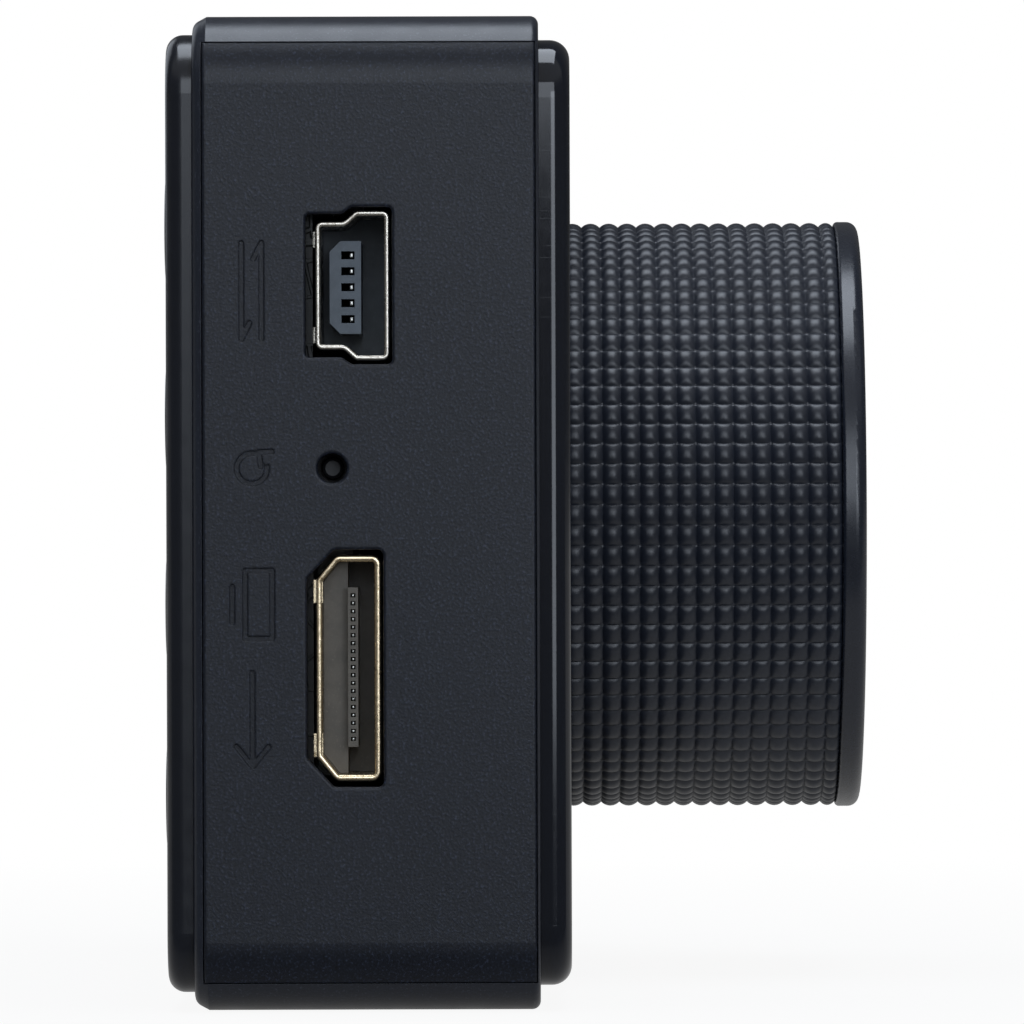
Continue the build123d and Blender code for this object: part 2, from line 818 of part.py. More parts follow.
with BuildPart() as memory_card:
    top = card_z + card_half_width
    bottom = card_z - card_half_width
    with BuildSketch(facing_front(card_y + card_thickness / 2)):
        with BuildLine():
            Polyline(
                (card_ends[1], bottom),
                (card_ends[1], top),
                (card_shoulders[2], top),
                (card_shoulders[1], top - 0.8),
                (card_shoulders[0], top - 0.8),
                (card_ends[0], top - 1.8),
                (card_ends[0], bottom),
                close=True,
            )
        make_face()
    extrude(amount=card_thickness)
    fillet(memory_card.edges().filter_by(Axis.Y).group_by(Axis.X)[-1], 0.6)
keep(memory_card, "memory_card")

# ------------------------------------------------------------------ battery, sound and light
battery_size = (21.0, 41.0)
battery_x = -20.4
battery_y = (-7.6, -2.2)
battery_edge = 0.9
with BuildPart() as battery:
    add(slab(battery_size, 2.0, battery_y, (battery_x, middle)))
    for end in (0, -1):
        fillet(battery.faces().sort_by(Axis.Y)[end].edges(), battery_edge)
keep(battery, "battery")

speaker_x = (34.9, 38.4)
speaker_y = (-7.2, 0.8)
speaker_half = 7.3
with BuildPart() as speaker:
    add(block(speaker_x, speaker_y, (speaker_z - speaker_half, speaker_z + speaker_half)))
    chamfer(speaker.edges().filter_by(Axis.X), 1.2)
keep(speaker, "speaker")

microphone_y = (-8.5, -6.9)
with BuildPart() as microphone:
    add(rod(2.0, microphone_y, (front_x, microphone_z)))
    add(
        rod(0.4, (microphone_y[0], microphone_y[0] + 0.4), (front_x, microphone_z)),
        mode=Mode.SUBTRACT,
    )
keep(microphone, "microphone")

light_flange_y = (-8.6, -7.9)
with BuildPart() as light_pipe:
    add(rod(light_radius, (front_cover_y + 0.08, board_front_y - 0.95), (front_x, light_z)))
    add(rod(light_radius + 0.55, light_flange_y, (front_x, light_z)))
keep(light_pipe, "light_pipe")

# ------------------------------------------------------------------ image sensor
sensor_board_size = (22.0, 22.0)
sensor_board_y = (0.8, 1.6)
sensor_half = (5.5, 5.0)
sensor_front_y = -0.3
holder_front_y = -1.6
holder_plate = 1.2
holder_outline = [
    (0, -holder_front_y),
    (0, flange_rear),
    (16.6, flange_rear),
    (16.6, flange_rear - holder_plate),
    (9.2, flange_rear - holder_plate),
    (9.2, -holder_front_y),
]
filter_seat = [(0, 0), (4.4, 0), (4.4, 1.0), (5.1, 1.0), (5.1, 1.6), (0, 1.6)]

with BuildPart() as sensor_board:
    add(slab(sensor_board_size, 1.0, sensor_board_y, (lens_x, lens_z)))
keep(sensor_board, "sensor_board")


def about_lens(half_size, y_range, lift=0.0):
    """A block around the lens axis, between two values of Y."""
    x_range = (lens_x - half_size[0], lens_x + half_size[0])
    z_range = (lens_z + lift - half_size[1], lens_z + lift + half_size[1])
    return block(x_range, y_range, z_range)


with BuildPart() as board_connector:
    add(about_lens((6.0, 1.5), (sensor_board_y[1] + 0.02, board_front_y), lift=5.5))
keep(board_connector, "board_connector")

with BuildPart() as image_sensor:
    add(about_lens(sensor_half, (sensor_front_y, sensor_board_y[0])))
keep(image_sensor, "image_sensor")

with BuildPart() as sensor_holder:
    add(slab(sensor_board_size, 1.0, (holder_front_y, sensor_board_y[0] - 0.02), (lens_x, lens_z)))
    add(turned(holder_outline))
    # Room for the sensor, the filter's seat, the bore of the lens and the screw holes
    sensor_room = (sensor_half[0] + 0.2, sensor_half[1] + 0.2)
    add(
        about_lens(sensor_room, (sensor_front_y - 0.2, sensor_board_y[0] - 0.02)),
        mode=Mode.SUBTRACT,
    )
    add(turned(filter_seat), mode=Mode.SUBTRACT)
    add(disc(7.6, (-holder_front_y, flange_rear)), mode=Mode.SUBTRACT)
    add(
        screw_circle(lens_screw_radius + clearance, (flange_rear - holder_plate, flange_rear)),
        mode=Mode.SUBTRACT,
    )
keep(sensor_holder, "sensor_holder")

with BuildPart() as ir_filter:
    add(disc(5.05, (1.02, 1.45)))
keep(ir_filter, "ir_filter")

# ------------------------------------------------------------------ lens barrel
groove_radius = 13.2
oring_forward = 12.45
oring_section = 0.37
groove_half = 0.45
thread_start = 22.5
thread_fit = 0.05
with BuildPart() as lens_tube:
    add(
        turned(
            [
                (tube_bore, flange_rear),
                (flange_radius, flange_rear),
                (flange_radius, flange_front),
                (tube_radius, flange_front),
                (tube_radius, oring_forward - groove_half),
                (groove_radius, oring_forward - groove_half),
                (groove_radius, oring_forward + groove_half),
                (tube_radius, oring_forward + groove_half),
                (tube_radius, tube_front),
                (groove_radius, tube_front),
                (groove_radius, thread_start),
                (tube_bore, thread_start),
            ]
        )
    )
    # Straight slot that keeps the drive pin from turning
    slot_half_width = pin_radius + 0.06
    slot_half_length = focus_travel / 2 + pin_radius + 0.15
    add(
        block(
            (lens_x - slot_half_width, lens_x + slot_half_width),
            (-pin_forward - slot_half_length, -pin_forward + slot_half_length),
            (lens_z - tube_radius - 1, lens_z - tube_bore + 2),
        ),
        mode=Mode.SUBTRACT,
    )
    add(
        screw_circle(lens_screw_radius + clearance, (flange_rear, flange_front)),
        mode=Mode.SUBTRACT,
    )
keep(lens_tube, "lens_tube")

screw_head = flange_rear - holder_plate - 0.02
with BuildPart() as lens_mount_screws:
    add(screw_circle(1.1, (screw_head - 0.73, screw_head)))
    add(screw_circle(lens_screw_radius, (screw_head - 0.1, flange_front + 0.75)))
keep(lens_mount_screws, "lens_mount_screws")

with BuildPart() as friction_oring:
    with BuildSketch(lens_section):
        with Locations((groove_radius + 0.4, oring_forward)):
            Circle(oring_section)
    revolve(axis=lens_axis)
keep(friction_oring, "friction_oring")

# The cam groove lies in a plane tilted about Z, so that its height under the pin follows the turn.
cam_radius = ring_bore + cam_depth / 2
tilt = math.atan(cam_rise / cam_radius)
cam_direction = (math.sin(tilt), -math.cos(tilt), 0)
cam_centre = (lens_x, -pin_forward, lens_z)
cam_section = Plane(origin=cam_centre, x_dir=(0, 0, 1), z_dir=(math.cos(tilt), math.sin(tilt), 0))

# Each ridge rises to a flat crest; the last one runs out into the smooth front ring.
ridge_points = []
for ridge in range(ridge_count):
    start = ridge_start + ridge * ridge_pitch
    ridge_points += [
        (ridge_valley, start),
        (ridge_crest, start + ridge_flat),
        (ridge_crest, start + ridge_pitch - ridge_flat),
    ]
last_ridge = ridge_start + ridge_count * ridge_pitch
ridge_points += [(ridge_valley, last_ridge), (ridge_crest, last_ridge + ridge_flat)]

with BuildPart() as focus_ring:
    add(
        turned(
            [(ring_bore, ring_end), (ring_bore, ring_start), (ridge_valley, ring_start)]
            + ridge_points
            + [(ridge_crest, ring_end)]
        )
    )
    with BuildSketch(cam_section):
        with Locations((cam_radius - 0.5, 0)):
            Rectangle(cam_depth + 1, cam_width)
    revolve(axis=Axis(cam_centre, cam_direction), mode=Mode.SUBTRACT)
keep(focus_ring, "focus_ring")

skirt_rear = 23.12
bezel_radius = 14.6
bezel_bore = 11.8
bezel_drop = 0.75
with BuildPart() as front_ring:
    skirt_radius = groove_radius - thread_fit
    with BuildSketch(lens_section):
        with BuildLine():
            Line((skirt_radius, tube_front), (lip_radius - lip_rear_radius, tube_front))
            RadiusArc(
                (lip_radius - lip_rear_radius, tube_front),
                (lip_radius, tube_front + lip_rear_radius),
                -lip_rear_radius,
            )
            Line((lip_radius, tube_front + lip_rear_radius), (lip_radius, lip_front - lip_edge_radius))
            RadiusArc(
                (lip_radius, lip_front - lip_edge_radius),
                (lip_radius - lip_edge_radius, lip_front),
                -lip_edge_radius,
            )
            Polyline(
                (lip_radius - lip_edge_radius, lip_front),
                (bezel_radius, lip_front),
                (bezel_bore, lip_front - bezel_drop),
                (bezel_bore, glass_front + glass_fit),
                (glass_radius + clearance, glass_front + glass_fit),
                (glass_radius + clearance, skirt_rear),
                (skirt_radius, skirt_rear),
                (skirt_radius, tube_front),
            )
        make_face()
    revolve(axis=lens_axis)
keep(front_ring, "front_ring")

with BuildPart() as front_glass:
    add(disc(glass_radius, (glass_front - glass_thickness, glass_front)))
keep(front_glass, "front_glass")

seal_bore = 11.7
with BuildPart() as glass_seal:
    seal_range = (skirt_rear, glass_front - glass_thickness - glass_fit)
    add(disc(glass_radius, seal_range))
    add(disc(seal_bore, seal_range), mode=Mode.SUBTRACT)
keep(glass_seal, "glass_seal")

step_count = 5
step_in = 0.66
step_back = 0.7
baffle_radius = 11.5
baffle_front = skirt_rear - 0.02
with BuildPart() as lens_baffle:
    steps = []
    for step in range(step_count):
        radius = baffle_radius - step * step_in
        steps.append((radius, baffle_front - step * step_back))
        steps.append((radius, baffle_front - (step + 1) * step_back))
    baffle_rear = [
        (9.5, baffle_front - step_count * step_back),
        (tube_bore - 0.3, thread_start),
        (skirt_radius, thread_start),
        (skirt_radius, baffle_front),
    ]
    add(turned(steps + baffle_rear))
keep(lens_baffle, "lens_baffle")

# ------------------------------------------------------------------ lens cell, which focuses
cell_radius = tube_bore - 0.07
cell_outline = [
    (5.0, 2.6),
    (7.0, 2.6),
    (7.0, 9.2),
    (cell_radius, 9.2),
    (cell_radius, 10.7),
    (9.5, 10.7),
    (9.5, 15.5),
    (cell_radius, 15.5),
    (cell_radius, 17.0),
    (10.4, 17.0),
    (10.4, 18.0),
    (7.4, 18.0),
    (7.4, 15.6),
    (5.8, 15.6),
    (5.8, 12.0),
    (4.0, 12.0),
    (4.0, 6.0),
    (5.0, 6.0),
]
pin_foot = lens_z - 10
pin_tip = lens_z - 14.6
with BuildPart() as lens_cell:
    add(turned(cell_outline))
    add(
        post(pin_radius + 0.02, (pin_foot - 3, pin_foot), (lens_x, -pin_forward)),
        mode=Mode.SUBTRACT,
    )
keep(lens_cell, "lens_cell")

with BuildPart() as drive_pin:
    add(post(pin_radius, (pin_tip, pin_foot - 0.02), (lens_x, -pin_forward)))
keep(drive_pin, "drive_pin")

with BuildPart() as cell_retainer:
    add(turned([(6.4, 17.2), (7.35, 17.2), (7.35, 17.95), (6.9, 17.95)]))
keep(cell_retainer, "cell_retainer")


def lens_element(label, radius, edge, bulge_radius, rear_bulge, front_bulge):
    """A round element: flat shoulders at its edge, with a curved face at the rear and the front."""
    rear, front = edge
    with BuildPart() as element:
        with BuildSketch(lens_section):
            with BuildLine():
                Line((0, rear - rear_bulge), (0, front + front_bulge))
                RadiusArc(
                    (0, front + front_bulge),
                    (bulge_radius, front),
                    (bulge_radius**2 + front_bulge**2) / (2 * front_bulge),
                )
                Polyline(
                    (bulge_radius, front), (radius, front), (radius, rear), (bulge_radius, rear)
                )
                RadiusArc(
                    (bulge_radius, rear),
                    (0, rear - rear_bulge),
                    (bulge_radius**2 + rear_bulge**2) / (2 * rear_bulge),
                )
            make_face()
        revolve(axis=lens_axis)
    keep(element, label)


lens_element("front_element", 7.35, (15.7, 17.12), 6.3, -0.9, 1.75)
lens_element("second_element", 5.75, (12.4, 15.0), 5.2, 0.35, 0.45)
lens_element("rear_element", 4.95, (3.4, 5.9), 3.9, 0.5, 0.6)

# ------------------------------------------------------------------ buttons
button_edge = 0.35
button_flange = 0.7
flange_top = height - wall - 0.1
flange_bottom = flange_top - 0.75
stem_radius = 0.8
rest_gap = key_travel + clearance
button_mark = 0.62


def top_button(label, x, radius):
    """A round button in the top, with a flange under the wall and a stem over its switch."""
    with BuildPart() as button:
        add(post(radius, (flange_top, height + button_proud), (x, 0)))
        fillet(button.faces().sort_by(Axis.Z)[-1].edges(), button_edge)
        with BuildSketch(Plane.XY.offset(height + button_proud)):
            with Locations((x, 0)):
                Circle(radius * button_mark)
                Circle(radius * button_mark - mark_width, mode=Mode.SUBTRACT)
        extrude(amount=-engrave, mode=Mode.SUBTRACT)
        add(post(radius + button_flange, (flange_bottom, flange_top), (x, 0)))
        add(post(stem_radius, (switch_top + rest_gap, flange_bottom), (x, stem_y)))
    keep(button, label)


top_button("record_button", record_x, record_radius)
top_button("power_button", power_x, power_radius)

key_mark_half = 0.9
bar_gap = 0.6


def key_mark(label):
    """The engraved mark of a rear key: bars, an arrow head up or down, or a ring."""
    across = key_mark_half
    marks = {
        "key_menu": [[(-across, z), (across, z)] for z in (bar_gap, 0, -bar_gap)],
        "key_up": [[(-across, -across / 2), (0, across / 2), (across, -across / 2)]],
        "key_down": [[(-across, across / 2), (0, -across / 2), (across, across / 2)]],
    }
    with BuildSketch() as mark:
        if label in marks:
            for points in marks[label]:
                add(strokes(points))
        else:
            Circle(across)
            Circle(across - mark_width, mode=Mode.SUBTRACT)
    return mark.sketch


key_flange_y = (rear_y - 0.7, rear_y - clearance)
stem_end_y = dome_y + dome_height + rest_gap - clearance
for label, z in key_places.items():
    with BuildPart() as key:
        add(rod(key_radius, (key_flange_y[1] - clearance, rear_cover_y + key_proud), (key_x, z)))
        fillet(key.faces().sort_by(Axis.Y)[-1].edges(), 0.3)
        with BuildSketch(facing_front(rear_cover_y + key_proud)):
            with Locations((key_x, z)):
                add(key_mark(label))
        extrude(amount=engrave, mode=Mode.SUBTRACT)
        add(rod(key_radius + 0.6, key_flange_y, (key_x, z)))
        add(rod(1.2, (stem_end_y, key_flange_y[0]), (key_x, z)))
    keep(key, label)

# ------------------------------------------------------------------ fasteners and tripod insert
screw_head_radius = 1.6
screw_head_height = 0.95
screw_length = 7.25
with BuildPart() as housing_screws:
    for place in pillar_places:
        add(rod(screw_head_radius, (board_rear_y, board_rear_y + screw_head_height), place))
        add(rod(screw_radius, (board_rear_y - screw_length, board_rear_y), place))
keep(housing_screws, "housing_screws")

with BuildPart() as tripod_insert:
    add(post(insert_radius, (0, socket_length + 0.1), (0, 0)))
    add(post(socket_radius, (0, socket_length), (0, 0)), mode=Mode.SUBTRACT)
keep(tripod_insert, "tripod_insert")

for piece in pieces:
    export_step(piece.part, f"parts/{piece.part.label}.step")
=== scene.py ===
import math

import bmesh
import bpy
import numpy as np
from mathutils import Matrix, Vector


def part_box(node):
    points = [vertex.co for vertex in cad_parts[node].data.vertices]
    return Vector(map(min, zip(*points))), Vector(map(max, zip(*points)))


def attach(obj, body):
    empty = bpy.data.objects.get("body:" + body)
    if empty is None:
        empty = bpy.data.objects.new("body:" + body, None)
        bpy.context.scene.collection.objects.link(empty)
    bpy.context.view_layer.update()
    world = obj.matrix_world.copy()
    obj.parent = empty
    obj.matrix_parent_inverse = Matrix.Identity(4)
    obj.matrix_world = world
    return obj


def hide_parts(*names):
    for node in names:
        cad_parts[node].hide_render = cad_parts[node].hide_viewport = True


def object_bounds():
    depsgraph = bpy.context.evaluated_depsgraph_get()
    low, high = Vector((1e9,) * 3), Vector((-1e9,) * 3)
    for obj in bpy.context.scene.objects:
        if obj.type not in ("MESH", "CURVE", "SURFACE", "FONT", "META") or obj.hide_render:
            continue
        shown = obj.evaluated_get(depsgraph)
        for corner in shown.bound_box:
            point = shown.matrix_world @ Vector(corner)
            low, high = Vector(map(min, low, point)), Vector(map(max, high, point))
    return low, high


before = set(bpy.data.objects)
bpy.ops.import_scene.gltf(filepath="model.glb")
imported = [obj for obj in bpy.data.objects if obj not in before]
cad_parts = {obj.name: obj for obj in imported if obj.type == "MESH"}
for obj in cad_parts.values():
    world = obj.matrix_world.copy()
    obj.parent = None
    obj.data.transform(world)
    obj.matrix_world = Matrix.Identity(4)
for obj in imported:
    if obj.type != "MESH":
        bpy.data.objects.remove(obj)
cad_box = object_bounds()

# The looks of a small box-bodied action camera with a large knurled lens barrel. Places come from the packed
# frame; lengths written here are millimetres, and MM turns them into Blender's metres.
MM = 0.001


def srgb(red, green, blue):
    """A colour as it should look on screen, 0 to 255, in the linear values that shaders use."""
    def linear(level):
        level /= 255
        return level / 12.92 if level <= 0.04045 else ((level + 0.055) / 1.055) ** 2.4
    return tuple(linear(level) for level in (red, green, blue))


# ---- materials -------------------------------------------------------------------------------------------


class Graph:
    """A tree of shader nodes, with the few operations that every material and the world need."""

    def __init__(self, owner):
        owner.use_nodes = True
        self.nodes = owner.node_tree.nodes
        self.links = owner.node_tree.links

    def node(self, kind, **settings):
        made = self.nodes.new(kind)
        for name, value in settings.items():
            setattr(made, name, value)
        return made

    def part(self, value, start, end, low=0.0, high=1.0, **settings):
        """Values from `start` to `end` spread over `low` to `high`, and held there beyond."""
        made = self.node("ShaderNodeMapRange", **settings)
        for socket, number in zip(("From Min", "From Max", "To Min", "To Max"), (start, end, low, high)):
            made.inputs[socket].default_value = number
        self.links.new(value, made.inputs["Value"])
        return made.outputs["Result"]

    def math(self, operation, first, second=0.0):
        made = self.node("ShaderNodeMath", operation=operation)
        for socket, value in zip(made.inputs, (first, second)):
            if isinstance(value, (int, float)):
                socket.default_value = value
            else:
                self.links.new(value, socket)
        return made.outputs[0]

    def blend(self, factor, first, second):
        """The first shader where the factor is 0, and the second where it is 1."""
        made = self.node("ShaderNodeMixShader")
        for socket, value in zip(made.inputs, (factor, first, second)):
            self.links.new(value, socket)
        return made.outputs[0]


EDGE_SAMPLES = 4
SCRATCH_EDGE = 0.05
# Sockets of a colour mix node, which share their names with those of its other kinds
MIX_FACTOR, MIX_FIRST, MIX_SECOND, MIX_RESULT = 0, 6, 7, 2


class Finish(Graph):
    """One procedural material: a Principled shader whose textures are laid out in millimetres."""

    def __init__(self, name, colour, roughness, **sockets):
        self.material = bpy.data.materials.new(name)
        super().__init__(self.material)
        self.shader = self.nodes["Principled BSDF"]
        self.colour = colour
        self.shader.inputs["Base Color"].default_value = (*colour, 1)
        self.shader.inputs["Roughness"].default_value = roughness
        for socket, value in sockets.items():
            self.shader.inputs[socket.replace("_", " ")].default_value = value
        coordinates = self.node("ShaderNodeTexCoord")
        self.place = self.node("ShaderNodeVectorMath", operation="SCALE")
        self.place.inputs["Scale"].default_value = 1 / MM
        self.links.new(coordinates.outputs["Object"], self.place.inputs[0])
        self.place = self.place.outputs[0]
        self.relief = None

    def stretched(self, stretch):
        """The millimetre coordinates, multiplied along each axis."""
        scaled = self.node("ShaderNodeVectorMath", operation="MULTIPLY")
        scaled.inputs[1].default_value = stretch
        self.links.new(self.place, scaled.inputs[0])
        return scaled.outputs[0]

    def noise(self, size, detail, stretch=None):
        """Soft random values whose spots are about `size` millimetres across."""
        made = self.node("ShaderNodeTexNoise")
        made.inputs["Scale"].default_value = 1 / size
        made.inputs["Detail"].default_value = detail
        self.links.new(self.stretched(stretch) if stretch else self.place, made.inputs["Vector"])
        return made.outputs["Fac"]

    def cells(self, size, feature="F1"):
        """Distances from points scattered `size` millimetres apart, or from the edges between their cells."""
        made = self.node("ShaderNodeTexVoronoi", feature=feature)
        made.inputs["Scale"].default_value = 1 / size
        self.links.new(self.place, made.inputs["Vector"])
        return made.outputs["Distance"]

    def tint(self, factor, other):
        """Shifts the colour towards `other` where `factor` is high. Later tints go over earlier ones."""
        made = self.node("ShaderNodeMix", data_type="RGBA")
        socket = self.shader.inputs["Base Color"]
        made.inputs[MIX_FIRST].default_value = socket.default_value
        made.inputs[MIX_SECOND].default_value = (*other, 1)
        if socket.is_linked:
            self.links.new(socket.links[0].from_socket, made.inputs[MIX_FIRST])
        self.links.new(factor, made.inputs[MIX_FACTOR])
        self.links.new(made.outputs[MIX_RESULT], socket)

    def shade(self, factor, darkest, lightest):
        """Mottles the colour between two multiples of itself."""
        dark, light = ([level * multiple for level in self.colour] for multiple in (darkest, lightest))
        self.shader.inputs["Base Color"].default_value = (*dark, 1)
        self.tint(factor, light)

    def drive(self, socket, value, low, high):
        """Runs one of the shader's numbers between two levels by a texture."""
        self.links.new(self.part(value, 0, 1, low, high), self.shader.inputs[socket])

    def bump(self, height, depth):
        """Relief `depth` millimetres deep. Later reliefs go over earlier ones."""
        made = self.node("ShaderNodeBump")
        made.inputs["Strength"].default_value = 1.0
        made.inputs["Distance"].default_value = depth * MM
        self.links.new(height, made.inputs["Height"])
        if self.relief:
            self.links.new(self.relief, made.inputs["Normal"])
        self.relief = made.outputs["Normal"]
        self.links.new(self.relief, self.shader.inputs["Normal"])

    def round_edges(self, radius):
        """Catches the light on sharp edges as if they had this radius, in millimetres."""
        made = self.node("ShaderNodeBevel", samples=EDGE_SAMPLES)
        made.inputs["Radius"].default_value = radius * MM
        self.relief = made.outputs["Normal"]
        self.links.new(self.relief, self.shader.inputs["Normal"])

    def scratches(self, direction, size, length, threshold):
        """Thin lines along one axis, `size` millimetres wide and `length` times as long, as a mask."""
        stretch = tuple(1 / length if axis == direction else 1 for axis in "xyz")
        return self.part(self.noise(size, 1.0, stretch), threshold, threshold + SCRATCH_EDGE)


def satin_shell():
    """The moulded middle of the housing: satin navy plastic with a very fine texture."""
    finish = Finish("satin_shell", srgb(24, 28, 37), 0.34, Specular_IOR_Level=0.45)
    finish.round_edges(0.05)
    finish.shade(finish.noise(3.0, 4), 0.85, 1.1)
    finish.tint(finish.part(finish.noise(0.12, 1), 0.62, 0.75), srgb(50, 53, 62))
    finish.drive("Roughness", finish.noise(1.2, 4), 0.26, 0.40)
    finish.bump(finish.noise(0.14, 2), 0.006)
    return finish


def grained_panel():
    """The side panels: spark-eroded grain, matte, with painted highlights on the raised grain and painted
    shade in its pits.
    """
    finish = Finish("grained_panel", srgb(16, 20, 29), 0.36, Specular_IOR_Level=0.32)
    finish.round_edges(0.11)
    finish.shade(finish.noise(5.0, 4), 0.88, 1.1)
    grain = finish.noise(0.13, 2)
    # Painted light and shade: the grain's own bump height makes its peaks paler (painted highlight) and its
    # pits darker (painted shade)
    finish.tint(finish.part(grain, 0.56, 0.76), srgb(40, 46, 60))
    finish.tint(finish.part(grain, 0.44, 0.28), srgb(10, 12, 18))
    finish.drive("Roughness", finish.noise(0.5, 2), 0.31, 0.42)
    finish.bump(grain, 0.010)
    return finish


def polished(name, smoothest, dullest):
    """Polished near-black plastic with hairlines and a little dust."""
    finish = Finish(name, srgb(15, 18, 25), smoothest)
    finish.round_edges(0.04)
    finish.shade(finish.noise(4.0, 3), 0.85, 1.15)
    lines = finish.scratches("y", 0.09, 25, 0.66)
    finish.tint(lines, srgb(20, 23, 30))
    finish.drive("Roughness", finish.noise(0.8, 5), smoothest, dullest)
    finish.bump(lines, 0.0002)
    finish.bump(finish.noise(2.5, 1), 0.001)
    return finish


def front_gloss():
    return polished("front_gloss", 0.05, 0.11)


def rear_gloss():
    return polished("rear_gloss", 0.16, 0.28)


def key_plastic():
    """Buttons and keys: satin gloss, handled smooth."""
    finish = Finish("key_plastic", srgb(38, 40, 46), 0.22)
    finish.round_edges(0.04)
    finish.shade(finish.noise(1.5, 3), 0.88, 1.1)
    finish.drive("Roughness", finish.noise(0.6, 4), 0.16, 0.32)
    finish.bump(finish.noise(0.1, 2), 0.002)
    return finish


def inner_plastic():
    """Plain black mouldings inside."""
    finish = Finish("inner_plastic", srgb(24, 24, 27), 0.5)
    finish.round_edges(0.04)
    finish.shade(finish.noise(0.8, 3), 0.8, 1.2)
    finish.drive("Roughness", finish.noise(0.4, 3), 0.42, 0.62)
    finish.bump(finish.noise(0.08, 2), 0.003)
    return finish


def rubber(name, level):
    """Seals and pads: dull and dark, `level` being how bright the grey looks on screen."""
    finish = Finish(name, srgb(level, level, level), 0.7)
    finish.shade(finish.noise(0.7, 3), 0.8, 1.2)
    finish.drive("Roughness", finish.noise(0.3, 3), 0.6, 0.85)
    finish.bump(finish.noise(0.06, 3), 0.004)
    return finish


def black_rubber():
    return rubber("black_rubber", 26)


def closed_foam():
    return rubber("closed_foam", 34)


def sheet_metal(name, colour, roughness, grime):
    """Stamped and plated sheet: mottled plating, fine drawing lines, darker spots where it is handled."""
    finish = Finish(name, colour, roughness, Metallic=1.0)
    finish.round_edges(0.05)
    finish.shade(finish.noise(1.2, 4), 0.82, 1.08)
    finish.tint(finish.part(finish.noise(0.35, 4), 0.58, 0.76), grime)
    finish.drive("Roughness", finish.noise(0.5, 4), roughness * 0.7, roughness * 1.6)
    finish.bump(finish.noise(0.4, 3), 0.012)
    finish.bump(finish.scratches("x", 0.03, 30, 0.6), 0.001)
    return finish


def tinned_steel():
    return sheet_metal("tinned_steel", srgb(196, 197, 194), 0.3, srgb(150, 150, 146))


def nickel_shell():
    return sheet_metal("nickel_shell", srgb(214, 208, 196), 0.22, srgb(120, 108, 90))


def gold_shell():
    return sheet_metal("gold_shell", srgb(240, 220, 184), 0.22, srgb(150, 124, 84))


def contact_tin():
    return sheet_metal("contact_tin", srgb(226, 226, 220), 0.3, srgb(160, 162, 160))


def black_zinc():
    return sheet_metal("black_zinc", srgb(96, 96, 99), 0.32, srgb(60, 60, 62))


def cell_foil():
    return sheet_metal("cell_foil", srgb(190, 193, 197), 0.38, srgb(150, 152, 156))


def moulding(name, colour):
    """The insulators in the two ports: glass-filled nylon, a little cloudy."""
    finish = Finish(name, colour, 0.45)
    finish.round_edges(0.03)
    finish.shade(finish.noise(0.9, 4), 0.55, 1.35)
    finish.tint(finish.part(finish.noise(0.08, 2), 0.62, 0.8), tuple(level * 1.7 for level in colour))
    finish.drive("Roughness", finish.noise(0.3, 3), 0.35, 0.6)
    finish.bump(finish.noise(0.07, 2), 0.004)
    return finish


def blue_grey_moulding():
    return moulding("blue_grey_moulding", srgb(68, 76, 84))


def dark_moulding():
    return moulding("dark_moulding", srgb(82, 76, 66))


def anodised():
    """Dark anodised and coated metal: the barrel, the ring and the lens cell."""
    finish = Finish("anodised", srgb(26, 30, 39), 0.36)
    finish.shade(finish.noise(1.5, 4), 0.85, 1.12)
    finish.tint(finish.part(finish.noise(0.06, 2), 0.66, 0.8), srgb(48, 52, 62))
    finish.drive("Roughness", finish.noise(0.25, 3), 0.30, 0.44)
    finish.bump(finish.noise(0.05, 2), 0.002)
    return finish


def gloss_ring():
    """The ring round the front glass: dark gloss coating with a faint orange peel."""
    finish = Finish("gloss_ring", srgb(24, 28, 37), 0.2)
    finish.shade(finish.noise(2.0, 3), 0.9, 1.1)
    finish.drive("Roughness", finish.noise(0.6, 4), 0.22, 0.32)
    finish.bump(finish.noise(0.5, 2), 0.003)
    return finish


GLASS_IOR = 1.52
ACRYLIC_IOR = 1.49


def clear_glass(name, colour, coat):
    """Coated optical glass: a faint coloured reflection, dust too fine to see singly."""
    finish = Finish(name, colour, 0.0, Transmission_Weight=1.0, IOR=GLASS_IOR)
    finish.shader.inputs["Coat Weight"].default_value = 0.6
    finish.shader.inputs["Coat Roughness"].default_value = 0.02
    finish.shader.inputs["Coat Tint"].default_value = (*coat, 1)
    finish.shade(finish.noise(6.0, 2), 0.97, 1.0)
    finish.drive("Roughness", finish.part(finish.noise(0.3, 4), 0.55, 0.8), 0.0, 0.04)
    finish.bump(finish.noise(4.0, 1), 0.0008)
    return finish


def front_pane():
    return clear_glass("front_pane", (0.93, 0.95, 0.97), (0.75, 0.85, 1.0))


def violet_coating():
    return clear_glass("violet_coating", (0.90, 0.92, 0.97), (0.62, 0.45, 1.0))


def green_coating():
    return clear_glass("green_coating", (0.92, 0.97, 0.93), (0.45, 1.0, 0.7))


def infrared_coating():
    return clear_glass("infrared_coating", (0.62, 0.86, 0.88), (1.0, 0.35, 0.45))


